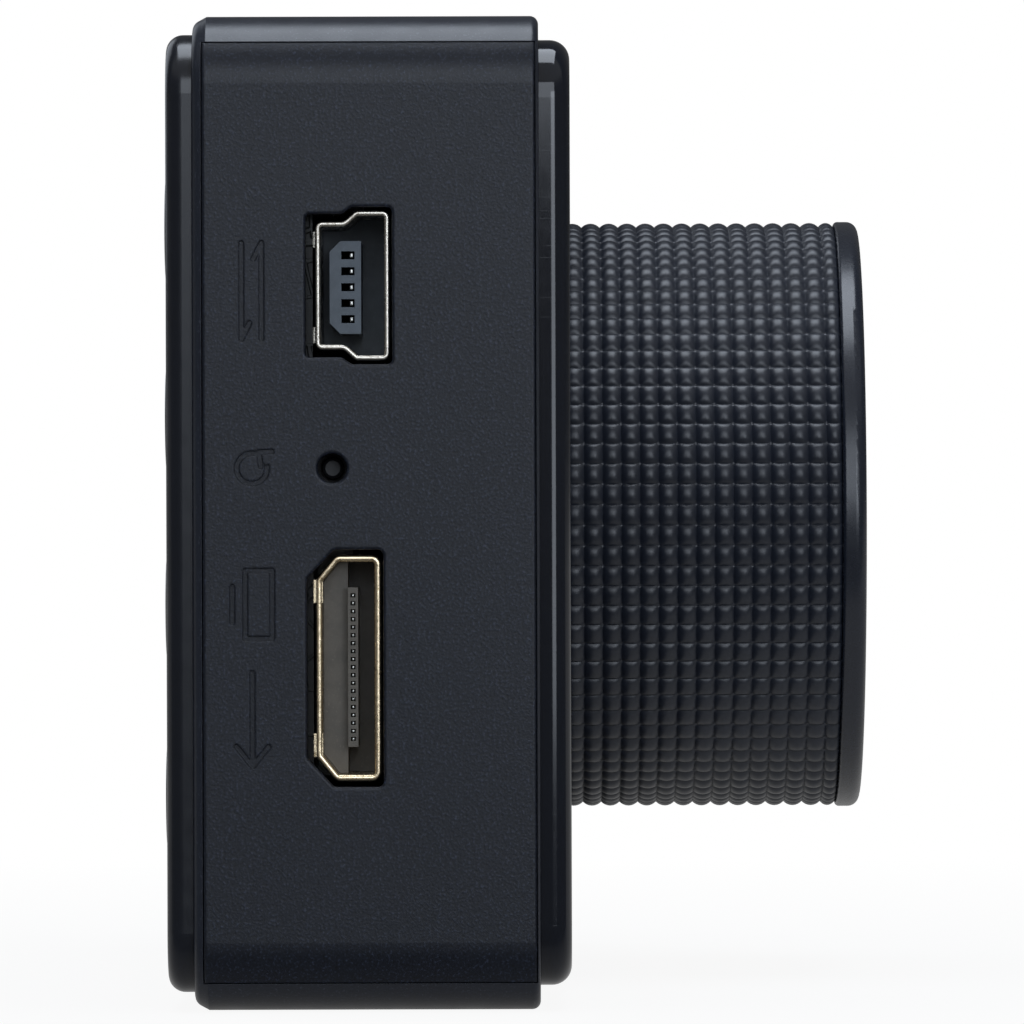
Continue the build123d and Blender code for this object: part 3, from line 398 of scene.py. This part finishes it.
def screen_window():
    """The cover glass of the screen: black print round the edge, clear in the middle."""
    finish = Finish("screen_glass", srgb(9, 9, 11), 0.03, IOR=GLASS_IOR)
    low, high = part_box("screen_window")
    middle, half = (low + high) / 2 / MM, (high - low) / 2 / MM
    border, edge = (4.0, 2.2), 0.02
    axes = finish.node("ShaderNodeSeparateXYZ")
    finish.links.new(finish.place, axes.inputs[0])
    inside = []
    for axis, centre, reach in (("X", middle.x, half.x - border[0]), ("Z", middle.z, half.z - border[1])):
        offset = finish.math("ABSOLUTE", finish.math("SUBTRACT", axes.outputs[axis], centre))
        inside.append(finish.part(offset, reach - edge, reach + edge, 1, 0))
    clear = finish.math("MULTIPLY", *inside)
    finish.tint(clear, (0.80, 0.83, 0.86))
    finish.links.new(clear, finish.shader.inputs["Transmission Weight"])
    finish.drive("Roughness", finish.part(finish.noise(1.5, 4), 0.5, 0.8), 0.01, 0.06)
    finish.bump(finish.noise(8.0, 1), 0.002)
    return finish


def dark_display():
    """The display with its backlight off: a dark blue-grey polariser over fine rows of pixels."""
    finish = Finish("dark_display", srgb(22, 24, 30), 0.24)
    finish.shade(finish.noise(8.0, 2), 0.9, 1.15)
    finish.tint(finish.part(finish.cells(0.16), 0.2, 0.5), srgb(28, 30, 38))
    finish.drive("Roughness", finish.noise(2.0, 3), 0.18, 0.3)
    finish.bump(finish.noise(0.05, 1), 0.001)
    return finish


def circuit_board():
    """Black solder mask with buried tracks showing through as paler lines."""
    finish = Finish("circuit_board", srgb(14, 16, 15), 0.3)
    tracks = finish.cells(1.6, feature="DISTANCE_TO_EDGE")
    finish.tint(finish.part(tracks, 0.05, 0.03), srgb(26, 30, 28))
    finish.drive("Roughness", finish.noise(0.4, 3), 0.24, 0.4)
    finish.bump(finish.part(tracks, 0.06, 0.03), 0.02)
    return finish


def chip():
    """Moulded chip package."""
    finish = Finish("chip", srgb(38, 38, 40), 0.55)
    finish.round_edges(0.04)
    finish.shade(finish.noise(0.3, 4), 0.8, 1.2)
    finish.drive("Roughness", finish.noise(0.2, 3), 0.45, 0.65)
    finish.bump(finish.noise(0.05, 2), 0.003)
    return finish


def sensor_face():
    """The image sensor: a dark iridescent array under thin glass."""
    finish = Finish("sensor_face", srgb(34, 30, 42), 0.18)
    finish.tint(finish.noise(2.5, 1), srgb(30, 58, 54))
    finish.drive("Roughness", finish.noise(0.5, 2), 0.12, 0.24)
    finish.bump(finish.cells(0.05), 0.001)
    return finish


def turned_brass():
    """The tripod insert: turned brass, with tool marks round its axis."""
    finish = Finish("turned_brass", srgb(200, 165, 104), 0.28, Metallic=1.0)
    rings = finish.node("ShaderNodeTexWave", wave_type="RINGS", rings_direction="Z")
    rings.inputs["Scale"].default_value = 4.0
    rings.inputs["Distortion"].default_value = 0.6
    finish.links.new(finish.place, rings.inputs["Vector"])
    finish.shade(finish.noise(1.0, 4), 0.8, 1.08)
    finish.drive("Roughness", finish.noise(0.4, 4), 0.2, 0.42)
    finish.bump(rings.outputs["Fac"], 0.004)
    return finish


def amber_film():
    """The display's flexible circuit: amber film with darker lines along it."""
    finish = Finish("amber_film", srgb(170, 100, 32), 0.25)
    finish.shade(finish.noise(1.5, 3), 0.75, 1.2)
    finish.tint(finish.part(finish.noise(0.3, 0, (1, 0.01, 0.01)), 0.5, 0.55), srgb(128, 66, 22))
    finish.drive("Roughness", finish.noise(0.6, 3), 0.18, 0.36)
    finish.bump(finish.noise(0.8, 2), 0.01)
    return finish


def card_plastic():
    """The memory card: matte black moulding."""
    finish = Finish("card_plastic", srgb(40, 40, 44), 0.5)
    finish.round_edges(0.03)
    finish.shade(finish.noise(0.6, 3), 0.85, 1.15)
    finish.drive("Roughness", finish.noise(0.3, 3), 0.42, 0.6)
    finish.bump(finish.noise(0.07, 2), 0.003)
    return finish


def clear_acrylic():
    """The light pipe: clear acrylic, frosted at its end."""
    finish = Finish("clear_acrylic", (0.86, 0.89, 0.92), 0.2, Transmission_Weight=0.85, IOR=ACRYLIC_IOR)
    finish.shade(finish.noise(0.5, 2), 0.9, 1.0)
    finish.drive("Roughness", finish.noise(0.2, 3), 0.12, 0.35)
    finish.bump(finish.noise(0.1, 2), 0.003)
    return finish


# The nodes that wear each material
FINISHES = {
    satin_shell: ["center_shell"],
    grained_panel: ["port_side_panel", "card_side_panel"],
    front_gloss: ["front_cover"],
    rear_gloss: ["rear_cover"],
    screen_window: ["screen_window"],
    dark_display: ["lcd_panel"],
    inner_plastic: ["backlight_unit", "reset_switch", "reset_plunger", "speaker", "board_connector",
                    "sensor_holder", "lens_baffle"],
    tinned_steel: ["lcd_frame", "shield_can", "key_switches", "top_switches", "card_socket", "microphone"],
    amber_film: ["lcd_flex"],
    circuit_board: ["main_board", "sensor_board"],
    chip: ["processor", "memory_chip"],
    sensor_face: ["image_sensor"],
    nickel_shell: ["usb_shell"],
    blue_grey_moulding: ["usb_tongue"],
    contact_tin: ["usb_contacts", "hdmi_contacts"],
    gold_shell: ["hdmi_shell"],
    dark_moulding: ["hdmi_tongue"],
    card_plastic: ["memory_card"],
    cell_foil: ["battery"],
    clear_acrylic: ["light_pipe"],
    infrared_coating: ["ir_filter"],
    anodised: ["lens_tube", "lens_cell", "cell_retainer", "focus_ring"],
    black_zinc: ["lens_mount_screws", "drive_pin", "housing_screws"],
    gloss_ring: ["front_ring"],
    front_pane: ["front_glass"],
    violet_coating: ["front_element"],
    green_coating: ["second_element", "rear_element"],
    key_plastic: ["record_button", "power_button", "key_menu", "key_up", "key_down", "key_ok"],
    turned_brass: ["tripod_insert"],
    black_rubber: ["friction_oring", "glass_seal"],
    closed_foam: ["screen_gasket"],
}


def finish_nodes():
    """Gives every CAD node its material, and returns the materials by node name."""
    worn = {}
    for make, nodes in FINISHES.items():
        material = make().material
        for node in nodes:
            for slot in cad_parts[node].material_slots:
                slot.material = material
            worn[node] = material
    bare = sorted(set(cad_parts) - set(worn))
    if bare:
        raise ValueError(f"these nodes have no finish: {bare}")
    return worn


# ---- modelled pieces -------------------------------------------------------------------------------------


def turned_mesh(name, loop, angle, place):
    """A closed surface that goes round an axis.

    `loop` holds the radius and height of each point of a closed outline at each angle, as an array of
    points by angles by two. `place` maps radius, angle and height to a point.
    """
    points, steps = loop.shape[:2]
    corners = place(loop[..., 0], angle[None, :], loop[..., 1]).reshape(-1, 3)
    row, column = np.meshgrid(np.arange(points), np.arange(steps), indexing="ij")
    next_row, next_column = (row + 1) % points, (column + 1) % steps
    here, across, along, both = (
        (a * steps + b).ravel()
        for a, b in ((row, column), (row, next_column), (next_row, column), (next_row, next_column))
    )
    mesh = bpy.data.meshes.new(name)
    mesh.from_pydata(corners.tolist(), [], np.stack([here, across, both, along], 1).tolist())
    mesh.update()
    piece = bpy.data.objects.new(name, mesh)
    bpy.context.scene.collection.objects.link(piece)
    return piece


def plain_rows(corners, steps):
    """Outline points whose radius and height are the same at every angle."""
    return [np.broadcast_to(np.array(corner), (1, steps, 2)) for corner in corners]


def smooth_by_angle(piece, degrees):
    """Smooth shading, kept crisp where faces meet at more than this angle."""
    piece.data.shade_smooth()
    piece.data.set_sharp_from_angle(angle=math.radians(degrees))


def lens_axis():
    """X and Z of the barrel's axis, in millimetres."""
    low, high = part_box("front_ring")
    return (low.x + high.x) / 2 / MM, (low.z + high.z) / 2 / MM


def about_lens_axis(radius, angle, forward):
    """A point at this radius and angle round the barrel, `forward` millimetres ahead of the origin."""
    centre_x, centre_z = lens_axis()
    angle, forward = angle + 0 * radius, forward + 0 * radius
    return np.stack([
        centre_x + radius * np.sin(angle), -forward, centre_z + radius * np.cos(angle)
    ], -1) * MM


# The knurl, in millimetres: ridges go round the ring, and rows of cuts go across them
KNURL_PITCH = 1.0
KNURL_ROWS = 90
KNURL_MARGIN = 0.05
RING_DEPTH = 0.22
ROW_DEPTH = 0.20
ROW_SHARPNESS = 2.6
# How deep a row is in the valley between two ridges, as a share of its depth on a crest
ROW_IN_VALLEY = 0.35
RING_BORE = 14.0
RING_EDGE = 0.12
RING_CREASE = 50
# Where mesh points lie over one ridge and over one row, from 0 to 1
RING_STEPS = (0, 0.08, 0.2, 0.35, 0.5, 0.65, 0.8, 0.92)
ROW_STEPS = (0, 0.05, 0.12, 0.24, 0.5, 0.76, 0.88, 0.95)


def arch(position, depth):
    """Height of a round bump on a chord of 1, for positions from 0 to 1: 0 at its sides, 1 in the middle."""
    radius = (0.5**2 + depth**2) / (2 * depth)
    return (np.sqrt(radius**2 - (position - 0.5) ** 2) - (radius - depth)) / depth


def knurled_ring(material):
    """The focus ring: round ridges side by side, cut across into rows of rounded bumps."""
    low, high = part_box("focus_ring")
    back, front = -high.y / MM, -low.y / MM
    crest = (high.x - low.x) / 2 / MM
    ridges = (front - back - KNURL_MARGIN) / KNURL_PITCH
    ring_place = np.array([ring + step for ring in range(math.ceil(ridges)) for step in RING_STEPS])
    ring_place = np.append(ring_place, math.ceil(ridges))
    # The last ridge is a narrower one
    last = np.clip(ring_place - math.floor(ridges), 0, 1)
    squeezed = np.minimum(ring_place, math.floor(ridges)) + last * (ridges % 1.0)
    along = np.insert(back + KNURL_MARGIN + squeezed * KNURL_PITCH, 0, back)
    ring_bump = np.insert(arch(ring_place % 1.0, RING_DEPTH / KNURL_PITCH), 0, 0.0)[:, None]
    row_place = np.array([row + step for row in range(KNURL_ROWS) for step in ROW_STEPS])
    row_cut = ROW_DEPTH * np.abs(2 * (row_place % 1.0) - 1)[None, :] ** ROW_SHARPNESS
    row_share = ROW_IN_VALLEY + (1 - ROW_IN_VALLEY) * ring_bump
    outer = crest - RING_DEPTH * (1 - ring_bump) - row_cut * row_share
    rows = [np.stack([outer, np.broadcast_to(along[:, None], outer.shape)], -1)]
    rows += plain_rows(
        ((RING_BORE + RING_EDGE, front), (RING_BORE, front - RING_EDGE), (RING_BORE, back + RING_EDGE),
         (RING_BORE + RING_EDGE, back)),
        row_place.size,
    )
    angle = row_place * 2 * math.pi / KNURL_ROWS
    ring = turned_mesh("knurled_focus_ring", np.concatenate(rows), angle, about_lens_axis)
    smooth_by_angle(ring, RING_CREASE)
    ring.data.materials.append(material)
    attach(ring, "focus_ring")
    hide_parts("focus_ring")


# The quarter-inch thread, in millimetres: twenty turns to the inch, cut into the insert from below
THREAD_PITCH = 1.27
THREAD_CREST = 2.55
THREAD_ROOT = 3.175
THREAD_DEPTH = 6.0
THREAD_RUN_OUT = 0.8
# The groove is full deep where this line, over the distance from its middle in turns, passes 1
GROOVE_RISE, GROOVE_SLOPE = 1.2, 2.4
THREAD_STEPS = 96
ROWS_PER_TURN = 16
INSERT_EDGE = 0.2
INSERT_CREASE = 30
MERGED_BELOW = 0.001
SLIVER_BELOW = 0.0001


def about_upright(radius, angle, height):
    """A point at this radius and angle round the tripod socket, at this height."""
    angle, height = angle + 0 * radius, height + 0 * radius
    return np.stack([radius * np.sin(angle), radius * np.cos(angle), height], -1) * MM


def threaded_insert(material):
    """The tripod insert, with its thread cut as a real helix."""
    low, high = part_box("tripod_insert")
    outer, top = (high.x - low.x) / 2 / MM, high.z / MM
    height = np.arange(THREAD_DEPTH, -1e-6, -THREAD_PITCH / ROWS_PER_TURN)
    height = np.append(height, 0.0)[:, None]
    step = np.arange(THREAD_STEPS)
    turn = (height / THREAD_PITCH - step[None, :] / THREAD_STEPS) % 1.0
    groove = np.clip(GROOVE_RISE - GROOVE_SLOPE * np.abs(turn - 0.5), 0, 1)
    groove = groove * np.clip((THREAD_DEPTH - height) / THREAD_RUN_OUT, 0, 1)
    radius = THREAD_CREST + (THREAD_ROOT - THREAD_CREST) * groove
    radius = np.maximum(radius, THREAD_ROOT + INSERT_EDGE / 2 - height)
    rows = plain_rows(
        ((outer - INSERT_EDGE, 0), (outer, INSERT_EDGE), (outer, top - INSERT_EDGE),
         (outer - INSERT_EDGE, top), (0, top), (0, THREAD_DEPTH)),
        THREAD_STEPS,
    )
    rows.append(np.stack([radius, height + 0 * radius], -1))
    angle = step * 2 * math.pi / THREAD_STEPS
    insert = turned_mesh("threaded_insert", np.concatenate(rows), angle, about_upright)
    grid = bmesh.new()
    grid.from_mesh(insert.data)
    bmesh.ops.remove_doubles(grid, verts=grid.verts, dist=MERGED_BELOW * MM)
    bmesh.ops.dissolve_degenerate(grid, edges=grid.edges, dist=SLIVER_BELOW * MM)
    grid.to_mesh(insert.data)
    grid.free()
    smooth_by_angle(insert, INSERT_CREASE)
    insert.data.materials.append(material)
    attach(insert, "housing")
    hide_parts("tripod_insert")


# ---- stage, light and camera -----------------------------------------------------------------------------


# Each softbox: its name, its place, what it aims at, its width and height, all in metres, and how bright
# its face looks, with 1 as white
SOFTBOXES = (
    ("overhead", (0.0, 0.0, 0.50), (0.0, 0.0, 0.0), (0.32, 0.36), 4.8),
    ("fill", (-0.72, -0.09, 0.256), (0.0, -0.02, 0.045), (0.50, 0.38), 2.5),
    ("strip", (-0.62, -0.22, 0.06), (0.0, 0.0, 0.025), (0.18, 0.32), 3.0),
    ("far_side", (0.55, 0.45, 0.30), (0.0, 0.0, 0.025), (0.50, 0.50), 0.8),
)
LAMP_COLOUR = (0.90, 0.98, 1.10)


def softbox(name, place, aim, size, radiance):
    """A soft area lamp, whose power follows from its size and from how bright its face looks."""
    lamp = bpy.data.lights.new(name, "AREA")
    lamp.shape = "RECTANGLE"
    lamp.size, lamp.size_y = size
    lamp.energy = radiance * math.pi * size[0] * size[1]
    lamp.color = LAMP_COLOUR
    box = bpy.data.objects.new(name, lamp)
    box.location = place
    box.rotation_euler = (Vector(aim) - Vector(place)).to_track_quat("-Z", "Y").to_euler()
    bpy.context.scene.collection.objects.link(box)


def light_the_set():
    """One overhead, a wide one above the camera, a tall strip on the lens side and a weak one opposite."""
    for facts in SOFTBOXES:
        softbox(*facts)


# How bright mirrors see the studio, as start, end, low and high: a brightness that grows with a direction's
# height, and a share of it that falls as the direction turns away from the camera's side
STUDIO_BY_HEIGHT = (0.35, 0.65, 0.15, 0.42)
STUDIO_BY_SIDE = (-0.10, 0.15, 1.0, 0.0)
STUDIO_DIMMEST = 0.10
AMBIENT_COLOUR = srgb(232, 243, 255)
AMBIENT_STRENGTH = 0.42


def white_surround():
    """A world that is white to the camera, a dim studio to mirrors and glass, and soft for shade."""
    world = bpy.data.worlds.new("surround")
    bpy.context.scene.world = world
    graph = Graph(world)
    graph.nodes.clear()
    axes = graph.node("ShaderNodeSeparateXYZ")
    graph.links.new(graph.node("ShaderNodeTexCoord").outputs["Generated"], axes.inputs[0])
    above = graph.part(axes.outputs["Z"], *STUDIO_BY_HEIGHT, interpolation_type="SMOOTHSTEP")
    in_front = graph.part(axes.outputs["X"], *STUDIO_BY_SIDE, interpolation_type="SMOOTHSTEP")
    dim_studio = graph.math("MAXIMUM", graph.math("MULTIPLY", above, in_front), STUDIO_DIMMEST)
    rays = graph.node("ShaderNodeLightPath").outputs
    mirrored = graph.math("MAXIMUM", rays["Is Glossy Ray"], rays["Is Transmission Ray"])
    backdrop, ambient = graph.node("ShaderNodeBackground"), graph.node("ShaderNodeBackground")
    strength = graph.math("MAXIMUM", rays["Is Camera Ray"], dim_studio)
    graph.links.new(strength, backdrop.inputs["Strength"])
    backdrop.inputs["Color"].default_value = (1, 1, 1, 1)
    ambient.inputs["Color"].default_value = (*AMBIENT_COLOUR, 1)
    ambient.inputs["Strength"].default_value = AMBIENT_STRENGTH
    seen = graph.math("MAXIMUM", rays["Is Camera Ray"], mirrored)
    mixed = graph.blend(seen, ambient.outputs[0], backdrop.outputs[0])
    graph.links.new(mixed, graph.node("ShaderNodeOutputWorld").inputs[0])


PAPER_GREY = 0.55
# How white the camera sees the paper, by distance from the origin, and how bright mirrors see it, by X:
# metres from and to, then the two levels
WHITE_BY_DISTANCE = (0.05, 0.18, 0.92, 1.0)
MIRRORED_BY_X = (-0.045, -0.036, 0.12, 0.45)
FLOOR_REACH = 30.0
FLOOR_GAP = 0.02


def floor_paint():
    """White paper that keeps a faint shadow near the object, and is clear when seen from beneath."""
    material = bpy.data.materials.new("pale_floor")
    graph = Graph(material)
    graph.nodes.clear()
    paint, glow, clear = (
        graph.node(f"ShaderNode{kind}").outputs[0] for kind in ("BsdfDiffuse", "Emission", "BsdfTransparent")
    )
    paint.node.inputs["Color"].default_value = (PAPER_GREY, PAPER_GREY, PAPER_GREY, 1)
    geometry = graph.node("ShaderNodeNewGeometry").outputs
    distance = graph.node("ShaderNodeVectorMath", operation="LENGTH")
    graph.links.new(geometry["Position"], distance.inputs[0])
    whiteness = graph.part(distance.outputs["Value"], *WHITE_BY_DISTANCE)
    rays = graph.node("ShaderNodeLightPath").outputs
    mirrored = graph.math("MAXIMUM", rays["Is Glossy Ray"], rays["Is Transmission Ray"])
    seen = graph.math("MAXIMUM", graph.math("MULTIPLY", rays["Is Camera Ray"], whiteness), mirrored)
    axes = graph.node("ShaderNodeSeparateXYZ")
    graph.links.new(geometry["Position"], axes.inputs[0])
    behind = graph.part(axes.outputs["X"], *MIRRORED_BY_X)
    graph.links.new(graph.math("MAXIMUM", rays["Is Camera Ray"], behind), glow.node.inputs["Strength"])
    lit = graph.blend(seen, paint, glow)
    sided = graph.blend(geometry["Backfacing"], lit, clear)
    graph.links.new(sided, graph.node("ShaderNodeOutputMaterial").inputs[0])
    return material


def pale_floor():
    """A plain floor just under the object, out to the horizon."""
    low, _ = cad_box
    height = low.z - FLOOR_GAP * MM
    mesh = bpy.data.meshes.new("floor")
    corners = [(x * FLOOR_REACH, y * FLOOR_REACH, height) for x, y in ((-1, -1), (1, -1), (1, 1), (-1, 1))]
    mesh.from_pydata(corners, [], [(0, 1, 2, 3)])
    floor = bpy.data.objects.new("floor", mesh)
    bpy.context.scene.collection.objects.link(floor)
    mesh.materials.append(floor_paint())


# The camera, in millimetres and degrees, fitted to the photograph's outlines. Its clipping is in metres
CAMERA_PLACE = (-540.05, -7.35, 25.03)
CAMERA_ROLL = -0.17
CAMERA_LENS = 350.8
SENSOR_WIDTH = 36
CLIP_START, CLIP_END = 0.05, 20


def place_camera():
    """Looks square on at the port side from half a metre, with the slight roll of a hand-set camera."""
    data = bpy.data.cameras.new("camera")
    data.lens = CAMERA_LENS
    data.sensor_width = SENSOR_WIDTH
    data.clip_start, data.clip_end = CLIP_START, CLIP_END
    camera = bpy.data.objects.new("camera", data)
    bpy.context.scene.collection.objects.link(camera)
    place = Vector(CAMERA_PLACE) * MM
    roll = math.radians(CAMERA_ROLL)
    level = Vector((1, 0, 0)).to_track_quat("-Z", "Y").to_matrix().to_4x4()
    camera.matrix_world = Matrix.Translation(place) @ level @ Matrix.Rotation(roll, 4, "Z")
    bpy.context.scene.camera = camera


bpy.context.scene.view_settings.view_transform = "Standard"
materials = finish_nodes()
knurled_ring(materials["focus_ring"])
threaded_insert(materials["tripod_insert"])
white_surround()
pale_floor()
light_the_set()
place_camera()
